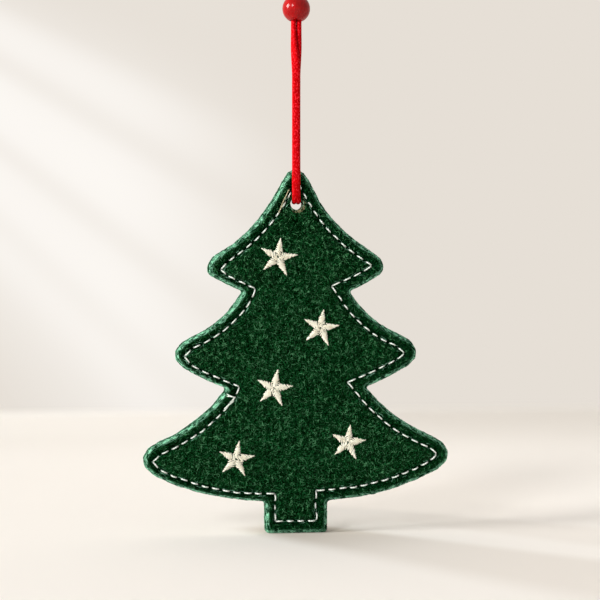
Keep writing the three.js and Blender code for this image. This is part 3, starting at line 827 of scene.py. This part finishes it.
def threadMaterial(name, colours):
    plain, shade, light = (rgb(colour) for colour in colours)
    material, wire, shader = newMaterial(name, {
        "Roughness": 0.5, "Specular IOR Level": 0.4, "Sheen Weight": 0.15, "Sheen Roughness": 0.35})
    along = wire.node("ShaderNodeTexCoord", out="UV").moved((0, 0, 0), (1.6, 9.0, 1.0))
    filaments = along.noise(1.0, 3.0, 0.65, 0.3)
    patch = wire.node("ShaderNodeTexCoord", out="Object").noise(700.0)
    colour = (filaments * 0.8 + patch * 0.5).between(0.42, 0.82).mix(shade, plain)
    colour = (filaments.between(0.56, 0.7) * 0.8).mix(colour, light)
    feed(shader, Base_Color=colour, Normal=filaments.bump(0.5, 0.0001))
    return material


seamLook = threadMaterial("cream seam thread", seamSet["colours"])
# the stray stitches are drawn in darker, olive tones
strayLook = threadMaterial("rubbed stray stitches", seamSet["strayColours"])


def twoPly(bm, layer, line, radius, apart):
    # two yarns laid round each other along a line
    tangent = unit(np.gradient(line, axis=0))
    across = unit(np.cross(tangent, (0, 1, 0)))
    up = np.cross(tangent, across)
    along = lengthsAlong(line) / mm
    for phase in (0, math.pi):
        turn = (2 * math.pi * along / seamSet["twist"] + phase)[:, None]
        ply = line + (np.cos(turn) * across + np.sin(turn) * up) * apart * mm
        tube(bm, layer, ply, across, roundOutline(radius), seamSet["sides"])


def seamRun(side):
    # the thread's middle line: it dives at each needle hole and bows up between them
    rng = np.random.default_rng(41 + side)
    corners = [int(np.argmin(np.linalg.norm(holes - turn, axis=1))) for turn in seamTurns]
    count = len(holes)
    points = []
    for i in range(count):
        a, b = holes[i], holes[(i + 1) % count]
        long = np.linalg.norm(b - a)
        run = (b - a) / long
        across = np.array([-run[1], run[0]])
        sway = rng.normal(0, seamSet["sway"])
        crest = seamSet["crest"] + rng.normal(0, seamSet["crestSpread"])
        early = -seamSet["cornerShift"] if i in corners else rng.normal(0, seamSet["holeSpread"])
        late = -seamSet["cornerShift"] if (i + 1) % count in corners else rng.normal(0, seamSet["holeSpread"])
        places = [(max(s + (early if s else 0), 0), d) for s, d in seamSet["rise"]]
        places += [(long / 2, crest)]
        places += [(long - max(s + (late if s else 0), 0), d) for s, d in seamSet["rise"][:0:-1]]
        for s, d in places:
            spot = a + run * s + across * sway * math.sin(math.pi * s / long)
            points.append((spot[0], d * side, spot[1]))
    return smoothLine(place(points), seamSet["step"] * mm)


def addStrays(bm, layer, strays):
    for stray in strays:
        line = smoothLine(place([(x, -d, h) for x, h, d in stray]), seamSet["strayStep"] * mm)
        twoPly(bm, layer, line, seamSet["strayPly"], seamSet["strayApart"])


def makeSeam(name, node, side):
    bm, layer = newBm()
    twoPly(bm, layer, seamRun(side), seamSet["ply"], seamSet["apart"])
    if side < 0:
        addStrays(bm, layer, notchStrays)
    plainFaces = len(bm.faces)
    if side < 0:
        addStrays(bm, layer, apexStrays)
    closeUp(bm)
    seam = finishPiece(name, bm, seamLook, "tree", node)
    seam.data.materials.append(strayLook)
    count = len(seam.data.polygons)
    seam.data.polygons.foreach_set("material_index", [int(i >= plainFaces) for i in range(count)])
    print(name, "faces", count)


makeSeam("seam_stitches_front", "seam_thread_front", -1)
makeSeam("seam_stitches_back", "seam_thread_back", 1)


# the embroidered stars

starSet = {
    "angles": (8, 79, 153, 222, 296), "angleSpread": 1.5,
    # how far each star's arms reach, in the order of the angles
    "reaches": [
        (7.1, 6.9, 6.7, 6.9, 7.3), (6.9, 6.8, 6.6, 6.8, 7.0), (6.8, 6.8, 6.5, 6.7, 7.0),
        (6.8, 6.6, 6.5, 6.7, 6.9), (6.6, 6.5, 6.3, 6.5, 6.7),
    ],
    "widest": 1.95, "halfWidth": 1.36, "tipHalf": 0.12, "innerHalf": (0.02, 0.66), "taper": 0.95,
    "thread": 0.19, "flat": 0.75, "start": 0.7, "stop": 0.5, "pitch": 0.5, "pitchSpread": 0.08,
    "slant": 0.75, "spread": 0.1, "edgeDepth": 2.6, "topDepth": 2.98, "rise": 0.2, "riseSpread": 0.03,
    "padThread": 0.3, "padFlat": 0.6, "tipThread": 0.17, "tipFlat": 0.85,
    "colours": [(255, 254, 238), (226, 216, 188), (255, 255, 248)],
}
starLook = threadMaterial("cream satin stitch", starSet["colours"])


def armHalf(r, reach):
    # half the width of an arm at r millimetres from the star's middle
    base, slope = starSet["innerHalf"]
    share = np.clip((reach - r) / (reach - starSet["widest"]), 0, 1) ** starSet["taper"]
    outer = starSet["tipHalf"] + (starSet["halfWidth"] - starSet["tipHalf"]) * share
    return np.minimum(base + slope * r, outer)


def makeArm(bm, layer, rng, middle, out, reach):
    across = np.array([-out[1], out[0]])
    widest, edge, spread = starSet["widest"], starSet["edgeDepth"], starSet["spread"]

    def stitch(points, radius, flat):
        spots = [(*(middle + out * r + across * w), d) for r, w, d in points]
        line = smoothLine(place([(x, -d, h) for x, h, d in spots]), 0.3 * mm)
        tube(bm, layer, line, np.cross(np.gradient(line, axis=0), (0, 1, 0)), roundOutline(radius, flat), 6)

    # padding threads along the arm, under the satin stitches
    for w in (-0.5, 0, 0.5):
        stitch([(1.1, w * 0.5, 2.3), (widest, w, 2.68), (reach - 1.7, w * 0.45, 2.66), (reach - 0.9, 0, 2.3)],
               starSet["padThread"], starSet["padFlat"])
    hand = 1 if rng.random() < 0.5 else -1
    r = starSet["start"]
    while r < reach - starSet["stop"]:
        wide = armHalf(r, reach)
        slant = starSet["slant"] * wide * hand
        left, right = r - slant + rng.normal(0, spread), r + slant + rng.normal(0, spread)
        leftWide = armHalf(np.clip(left, 0.4, reach), reach) + rng.normal(0, spread)
        rightWide = armHalf(np.clip(right, 0.4, reach), reach) + rng.normal(0, spread)
        top = starSet["topDepth"] + starSet["rise"] * min(1, wide) + rng.normal(0, starSet["riseSpread"])
        stitch([(left, -leftWide - 0.1, edge - 0.2), (left, -leftWide, edge + 0.25),
                ((left * 2 + right) / 3, -leftWide * 0.4, top - 0.03), (r, 0, top),
                ((left + right * 2) / 3, rightWide * 0.4, top - 0.03),
                (right, rightWide, edge + 0.25), (right, rightWide + 0.1, edge - 0.2)],
               starSet["thread"], starSet["flat"])
        r += starSet["pitch"] * (1 + rng.normal(0, starSet["pitchSpread"]))
    # the last stitch lies along the arm and makes its thin tip
    stitch([(reach - 2.0, 0.1, 2.5), (reach - 1.6, 0.08, 3.16), (reach - 0.7, 0, 3.12), (reach - 0.08, 0, 2.9),
            (reach, 0, 2.3)], starSet["tipThread"], starSet["tipFlat"])


def makeStar(index):
    rng = np.random.default_rng(60 + index)
    bm, layer = newBm()
    for angle, reach in zip(starSet["angles"], starSet["reaches"][index]):
        angle = math.radians(angle + rng.normal(0, starSet["angleSpread"]))
        out = np.array([math.cos(angle), math.sin(angle)])
        makeArm(bm, layer, rng, np.array(starSpots[index]), out, reach)
    closeUp(bm)
    finishPiece(f"star_stitched_{index + 1}", bm, starLook, "tree", f"star_{index + 1}")


for index in range(5):
    makeStar(index)
print("stars stitched")


# loose wool fibres on the felt

fuzzSet = {
    "points": 5, "sink": 0.03, "thin": 0.6, "thicken": 0.5,
    # each kind's length and lift from the felt, how far its tips rise, its curl and its thickness
    "light": {"long": (0.9, 2.5), "lift": (0.05, 0.16), "tips": 0.03, "curl": 3.2, "thick": 0.13},
    "dark": {"long": (0.8, 2.4), "lift": (0.02, 0.14), "tips": 0.05, "curl": 3.0, "thick": 0.14},
    "edge": {"long": (1.0, 3.4), "lift": (0.0, 0.14), "tips": 0.2, "curl": 0.8, "thick": 0.14},
    "hole": {"long": (0.7, 1.6), "lift": (0.0, 0.2), "tips": 0.2, "curl": 2.5, "thick": 0.13},
    # from the dark to the light tone of each kind
    "lightTones": [(0, 24, 3), (102, 174, 120)], "darkTones": [(0, 24, 3), (24, 78, 38)],
    # the cut edge's light fibre tone is paler wool, painted bright as a highlight too
    "edgeTones": [(0, 50, 24), (168, 240, 202)], "holeTones": [(0, 24, 3), (168, 160, 122)],
}


def fibreMaterial(name, tones):
    material, wire, shader = newMaterial(name, {
        "Roughness": 0.75, "Specular IOR Level": 0.02})
    where = wire.node("ShaderNodeTexCoord", out="Object")
    tone = (where.noise(700.0, 2.0, 0.7) * 1.2 + where.noise(2600.0, 2.0, 0.6) * 0.4).between(0.64, 1.06)
    feed(shader, Base_Color=tone.mix(*(rgb(colour) for colour in tones)))
    return material


lightFuzz = fibreMaterial("light wool fibres", fuzzSet["lightTones"])
darkFuzz = fibreMaterial("dark wool fibres", fuzzSet["darkTones"])
edgeFuzz = fibreMaterial("wool fibres of the cut edge", fuzzSet["edgeTones"])
holeFuzz = fibreMaterial("rubbed fibres at the hole", fuzzSet["holeTones"])


def curlFibres(mesh, count, rng, kind, keep):
    # places on the felt, chosen by face, with a short curled line laid flat at each; keep weighs the faces,
    # and the edge's fibres are drawn out along it
    drawn = kind is fuzzSet["edge"]
    faces = len(mesh.polygons)
    centres, ways, sizes = np.zeros(faces * 3), np.zeros(faces * 3), np.zeros(faces)
    mesh.polygons.foreach_get("center", centres)
    mesh.polygons.foreach_get("normal", ways)
    mesh.polygons.foreach_get("area", sizes)
    centres, ways = centres.reshape(-1, 3), ways.reshape(-1, 3)
    share = sizes * keep(centres / mm - (0, 0, footLevel / mm), ways)
    chosen = rng.choice(faces, count, p=share / share.sum())
    start, up = centres[chosen], ways[chosen]
    first = unit(np.cross(up, (0, 1, 0)) if drawn else np.cross(up, rng.normal(size=(count, 3))))
    second = np.cross(up, first)
    length = rng.uniform(*kind["long"], count) * mm
    bend = rng.normal(0, kind["curl"], count)
    heading = rng.normal(0, 0.3, count) if drawn else rng.uniform(0, 2 * math.pi, count)
    steps = np.linspace(-0.5, 0.5, fuzzSet["points"])
    here = np.zeros((count, 2))
    flat = [here]
    for i in range(1, len(steps)):
        angle = heading + bend * (steps[i] + steps[i - 1]) / 2 + rng.normal(0, 0.25, count)
        here = here + np.stack([np.cos(angle), np.sin(angle)], axis=1) * (length / (len(steps) - 1))[:, None]
        flat.append(here)
    flat = np.stack(flat, axis=1)
    flat = flat - flat[:, 2:3]
    return start[:, None] + first[:, None] * flat[..., :1] + second[:, None] * flat[..., 1:]


def growFuzz(name, felt, count, seed, kind, keep, look):
    # each fibre is laid on the felt's surface, bowed up in its middle or at its tips
    rng = np.random.default_rng(seed)
    mesh = felt.data
    spots = curlFibres(mesh, count, rng, kind, keep)
    surface = BVHTree.FromPolygons([v.co for v in mesh.vertices], [tuple(p.vertices) for p in mesh.polygons])
    lift = rng.uniform(*kind["lift"], count)
    tips = rng.uniform(0, kind["tips"], (count, 2))
    curve = bpy.data.curves.new(name, "CURVE")
    curve.dimensions = "3D"
    curve.bevel_depth, curve.bevel_resolution, curve.use_fill_caps = kind["thick"] * mm / 2, 0, True
    for line, middleLift, tipLifts in zip(spots, lift, tips):
        spline = curve.splines.new("POLY")
        spline.points.add(len(line) - 1)
        places, radii = [], []
        for part, spot in zip(np.linspace(-1, 1, len(line)), line):
            at, way, _, _ = surface.find_nearest(Vector(spot))
            tipLift = tipLifts[0] if part < 0 else tipLifts[1]
            stand = middleLift * (1 - part * part) + tipLift * part * part - fuzzSet["sink"]
            at = at + way * (stand * mm)
            places += [at.x, at.y, at.z, 1]
            radii.append(fuzzSet["thin"] + fuzzSet["thicken"] * (1 - abs(part)))
        spline.points.foreach_set("co", places)
        spline.points.foreach_set("radius", radii)
    lines = addObject(name + "_lines", curve)
    made = bpy.data.meshes.new_from_object(lines)
    bpy.data.objects.remove(lines)
    bpy.data.curves.remove(curve)
    made.name = name
    fuzz = addObject(name, made)
    dress(fuzz, look, "tree")
    print(name, "faces", len(made.polygons))


def clearOfStars(spots):
    clear = np.ones(len(spots))
    for spot in starSpots:
        away = np.linalg.norm(spots[:, [0, 2]] - np.array(spot), axis=1)
        clear *= 0.12 + 0.88 * smoothStep(3.0, 6.0, away)
    return clear


def clearOfSeam(spots):
    far = toSegments(spots[:, [0, 2]], holes)[0]
    return 0.1 + 0.9 * smoothStep(0.5, 1.2, far)


def onFace(side):
    def keep(spots, ways):
        flat = smoothStep(0.55, 0.9, ways[:, 1] * side) * np.where(insideOf(spots[:, [0, 2]], holes), 1, 0.4)
        return flat * (clearOfStars(spots) if side < 0 else 1) * clearOfSeam(spots)
    return keep


def onEdge(side):
    def keep(spots, ways):
        edge = 1 - smoothStep(0.5, 0.9, ways[:, 1] * side)
        return edge * (0.2 + 0.8 * smoothStep(0.9, 1.9, np.abs(spots[:, 1]))) * clearOfSeam(spots)
    return keep


def atHole(spots, ways):
    # loose ends below and right of the hole, where the cord has rubbed
    away = np.linalg.norm(spots[:, [0, 2]] - np.array(feltSet["hole"]), axis=1)
    low = smoothStep(-0.3, 1.0, (spots[:, 0] - spots[:, 2] + feltSet["hole"][1]) / 2.2)
    return bell(away - 2.7, 0.5) * low + 1e-9


growFuzz("felt_fibres_front_a", feltFront, 4800, 1, fuzzSet["light"], onFace(-1), lightFuzz)
growFuzz("felt_fibres_front_b", feltFront, 5400, 2, fuzzSet["dark"], onFace(-1), darkFuzz)
growFuzz("felt_fibres_back", feltBack, 5400, 3, fuzzSet["light"], onFace(1), lightFuzz)
growFuzz("felt_fibres_edge_front", feltFront, 4600, 4, fuzzSet["edge"], onEdge(-1), edgeFuzz)
growFuzz("felt_fibres_edge_back", feltBack, 4200, 5, fuzzSet["edge"], onEdge(1), edgeFuzz)
growFuzz("felt_fibres_hole", feltFront, 260, 6, fuzzSet["hole"], atHole, holeFuzz)


# the stage

stageSet = {
    "wallBehind": 0.50, "cove": 0.05, "coveSteps": 12, "width": 6.0, "wallHeight": 2.5, "front": 2.5,
    "wallFrom": (footLevel + 0.0005, footLevel + 0.006),
    "wallColour": (230, 223, 214), "wallStreak": (253, 249, 244),
    "floorColour": (227, 222, 215), "floorStreak": (240, 236, 230), "floorFront": (244, 239, 233),
    "floorBack": (212, 206, 198), "floorLit": (253, 247, 240),
    # the window's light: how bright the wall is by the angle round one corner, and the floor by its depth
    "corner": (-0.455, 0.179), "fan": (20, 52),
    "fanStops": [
        (0.0, 0.05), (0.125, 0.2), (0.19, 0.8), (0.26, 0.85), (0.3125, 0.4), (0.366, 0.95), (0.484, 1.0),
        (0.534, 0.5), (0.578, 0.9), (0.656, 0.95), (0.706, 0.6), (0.76, 0.9), (0.83, 0.45), (0.875, 0.4),
        (0.97, 0.05),
    ],
    "bands": (0.05, 0.5),
    "bandStops": [(0.0, 1.0), (0.2, 0.7), (0.27, 0.6), (0.38, 0.9), (0.58, 0.3), (0.7, 0.9), (0.85, 1.0)],
    # two soft bars of shade fan out from behind the foot: the angles that each starts and stops at, how it
    # bends with the distance from the apex, where it begins and how strong it is from here to there
    "shadeApex": (-0.083, 0.103), "shadeColour": (196, 184, 170), "shadeEnds": (0.24, 0.42),
    "bars": [
        {"start": (-59.5, -53.5), "stop": (-46.0, -42.5), "bend": 0.0, "begins": (0.106, 0.124),
         "strength": (0.13, 0.19, 0.7, 0.28)},
        {"start": (-29.5, -25.5), "stop": (-20.5, -16.5), "bend": 48.0, "begins": (0.13, 0.165),
         "strength": (0.15, 0.22, 0.15, 0.16)},
    ],
    # the window lights the floor behind the bars, from their edge on and as far as here and there
    "lit": {"start": (-21.0, -14.0), "bend": 48.0, "reach": (0.15, 0.23), "back": (0.1, 0.24),
            "left": (-0.02, 0.04)},
}


def stageMesh():
    # a floor that curves up into a wall
    far, cove = stageSet["wallBehind"], stageSet["cove"]
    points = [(-stageSet["front"], footLevel), (far - cove, footLevel)]
    for i in range(1, stageSet["coveSteps"] + 1):
        a = math.pi / 2 * i / stageSet["coveSteps"]
        points.append((far - cove + cove * math.sin(a), footLevel + cove * (1 - math.cos(a))))
    points.append((far, footLevel + stageSet["wallHeight"]))
    bm = bmesh.new()
    verts = [bm.verts.new((-stageSet["width"] / 2, y, z)) for y, z in points]
    edges = [bm.edges.new(pair) for pair in zip(verts, verts[1:])]
    grown = bmesh.ops.extrude_edge_only(bm, edges=edges)["geom"]
    grown = [g for g in grown if isinstance(g, bmesh.types.BMVert)]
    bmesh.ops.translate(bm, verts=grown, vec=(stageSet["width"], 0, 0))
    return toMesh("backdrop", bm)


def paintWall(x, z):
    # painted light: streaks of window light fan out from one corner over the wall's left side
    cornerX, cornerZ = stageSet["corner"]
    low, high = stageSet["fan"]
    angle = (cornerZ - z).math("ARCTAN2", x - cornerX) * (180 / math.pi)
    rays = x.node("ShaderNodeValToRGB", {"stops": stageSet["fanStops"]}, {0: (angle - low) / (high - low)})
    lit = rays * x.between(-0.07, 0.10, 1.0, 0.0)
    return lit.mix(rgb(stageSet["wallColour"]), rgb(stageSet["wallStreak"]))


def paintFloor(x, y):
    # painted light: bands of window light across the floor by its depth, fading to the right
    low, high = stageSet["bands"]
    bands = x.node("ShaderNodeValToRGB", {"stops": stageSet["bandStops"]}, {0: (y - low) / (high - low)})
    bands = bands * x.between(-0.1, 0.16, 1.0, 0.6)
    floor = bands.mix(rgb(stageSet["floorColour"]), rgb(stageSet["floorStreak"]))
    # painted light and shade: the floor is lighter towards the front and darker far back on the right
    nearFront = x.between(-0.3, -0.02) * y.between(0.15, 0.4, 1.0, 0.5)
    floor = nearFront.mix(floor, rgb(stageSet["floorFront"]))
    farBack = x.between(-0.05, 0.15) * y.between(0.2, 0.44, 0.0, 0.5)
    floor = farBack.mix(floor, rgb(stageSet["floorBack"]))
    apexX, apexY = stageSet["shadeApex"]
    fan = (y - apexY).math("ARCTAN2", x - apexX) * (180 / math.pi)
    reach = ((x - apexX) ** 2.0 + (y - apexY) ** 2.0).math("SQRT")
    shade = 0.0
    for bar in stageSet["bars"]:
        bent = fan + reach * bar["bend"]
        across = bent.between(*bar["start"]) * bent.between(*bar["stop"], 1.0, 0.0)
        shade = across * reach.between(*bar["begins"]) * reach.between(*bar["strength"]) + shade
    lit = stageSet["lit"]
    behind = (fan + reach * lit["bend"]).between(*lit["start"]) * reach.between(*lit["reach"], 1.0, 0.0)
    behind = behind * y.between(*lit["back"], 1.0, 0.0) * x.between(*lit["left"])
    floor = behind.mix(floor, rgb(stageSet["floorLit"]))
    return (shade * reach.between(*stageSet["shadeEnds"], 1.0, 0.0)).mix(floor, rgb(stageSet["shadeColour"]))


def isSeen(wire):
    # 1 for rays that show in the picture, also in gloss and through glass, and 0 for those that light it
    ray = wire.node("ShaderNodeLightPath", out="Is Camera Ray")
    return (ray + ray.out("Is Glossy Ray") + ray.out("Is Transmission Ray")).math("MINIMUM", 1.0)


def setOutput(mixed, kind):
    output = next(n for n in mixed.tree.nodes if n.type == kind)
    mixed.tree.links.new(mixed.socket, output.inputs["Surface"])


def makeStage():
    backdrop = addObject("backdrop", stageMesh())
    smoothFaces(backdrop.data)
    material, wire, shader = newMaterial("pale paper", {"Roughness": 0.9, "Specular IOR Level": 0.1})
    x, y, z = wire.node("ShaderNodeTexCoord", out="Object").xyz()
    feed(shader, Base_Color=paintFloor(x, y))
    # the wall shows its painted tone to the camera and in gloss, and stays a plain wall to the light
    onWall = z.between(*stageSet["wallFrom"])
    glow = wire.node("ShaderNodeEmission", None, {"Color": paintWall(x, z), "Strength": 1.0})
    paper = Wire(wire.tree, shader.outputs[0])
    mixed = wire.node("ShaderNodeMixShader", None, {0: isSeen(wire) * onWall, 1: paper, 2: glow})
    # the wall has a front only, so that the object is seen from behind it too
    rear = wire.node("ShaderNodeNewGeometry", out="Backfacing") * onWall
    clear = wire.node("ShaderNodeBsdfTransparent")
    setOutput(wire.node("ShaderNodeMixShader", None, {0: rear, 1: mixed, 2: clear}), "OUTPUT_MATERIAL")
    backdrop.data.materials.append(material)


makeStage()


# light

lightSet = {
    "sun": {"energy": 4.3, "angle": math.radians(26), "color": (1.0, 0.995, 0.98)},
    "sunFrom": (-1.35, -0.18, 0.43),
    "lamp": {"shape": "DISK", "size": 1.6, "energy": 120.0, "color": (1.0, 1.0, 0.995)},
    "lampFrom": (-2.9, -3.5, 1.64), "lampAim": (0, 0, -0.14),
    "roomLight": (1.0, 0.995, 0.99, 1), "roomStrength": 0.21,
}


def addLight(name, kind, settings, spot, aim=(0, 0, 0)):
    data = bpy.data.lights.new(name, kind)
    for key, value in settings.items():
        setattr(data, key, value)
    light = addObject(name, data)
    light.location = spot
    light.rotation_mode = "QUATERNION"
    light.rotation_quaternion = (Vector(aim) - Vector(spot)).to_track_quat("-Z", "Y")


addLight("key light", "SUN", lightSet["sun"], lightSet["sunFrom"])
addLight("front light", "AREA", lightSet["lamp"], lightSet["lampFrom"], lightSet["lampAim"])
world = bpy.data.worlds.new("room")
world.use_nodes = True
room = Wire(world.node_tree)
shownRoom = room.node("ShaderNodeBackground", None, {"Color": rgb(stageSet["wallColour"]), "Strength": 1.0})
lightRoom = room.node("ShaderNodeBackground", None, {
    "Color": lightSet["roomLight"], "Strength": lightSet["roomStrength"]})
setOutput(room.node("ShaderNodeMixShader", None, {0: isSeen(room), 1: lightRoom, 2: shownRoom}), "OUTPUT_WORLD")
bpy.context.scene.world = world

print("scene finished")
